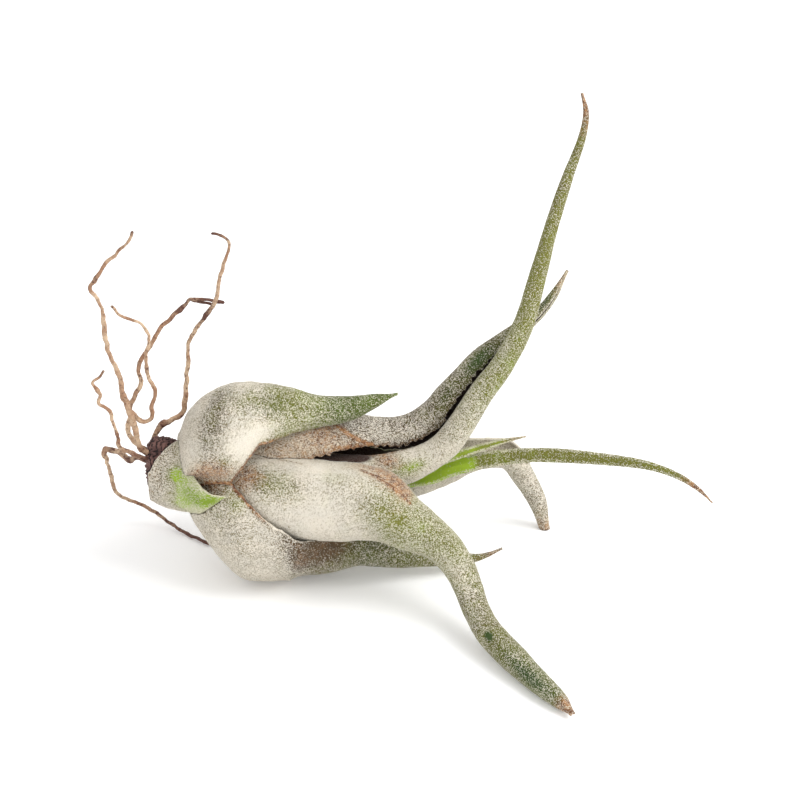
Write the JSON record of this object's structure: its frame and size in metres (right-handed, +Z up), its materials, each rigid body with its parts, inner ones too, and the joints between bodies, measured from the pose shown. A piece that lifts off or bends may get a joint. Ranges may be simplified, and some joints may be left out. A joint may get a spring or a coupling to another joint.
{
  "type": "air plant",
  "caption": "Bare-rooted air plant lying on its side: a bulb of swollen, clasping leaf sheaths with rolled, tapering, twisting blades and wiry roots.",
  "frame": {"origin": "a point of the small flat spot under the bulb, on the surface that the plant lies on", "axes": "+X from the root end to the leaf tips, along the bulb's axis; -Y the front, where the lowest blade reaches out; +Z up from the surface"},
  "size_m": [0.1517, 0.0943, 0.1181],
  "materials": {
    "leaf": "matt, cream to green, speckled with fine grey scales",
    "stem": "rough, dark purple-brown bark",
    "root": "dry, tan and wiry, with darker knots"
  },
  "bodies": {
    "root": {"stem": "stem", "leaf_1_bract": "leaf", "leaf_2_top": "leaf", "leaf_3_front": "leaf", "leaf_4_lower": "leaf", "leaf_5_twisted": "leaf", "leaf_6_tall": "leaf", "leaf_7_long": "leaf", "leaf_8_heart": "leaf", "leaf_9_rear": "leaf", "root_1": "root", "root_2": "root", "root_3": "root", "root_4": "root", "root_5": "root"}
  },
  "joints": []
}
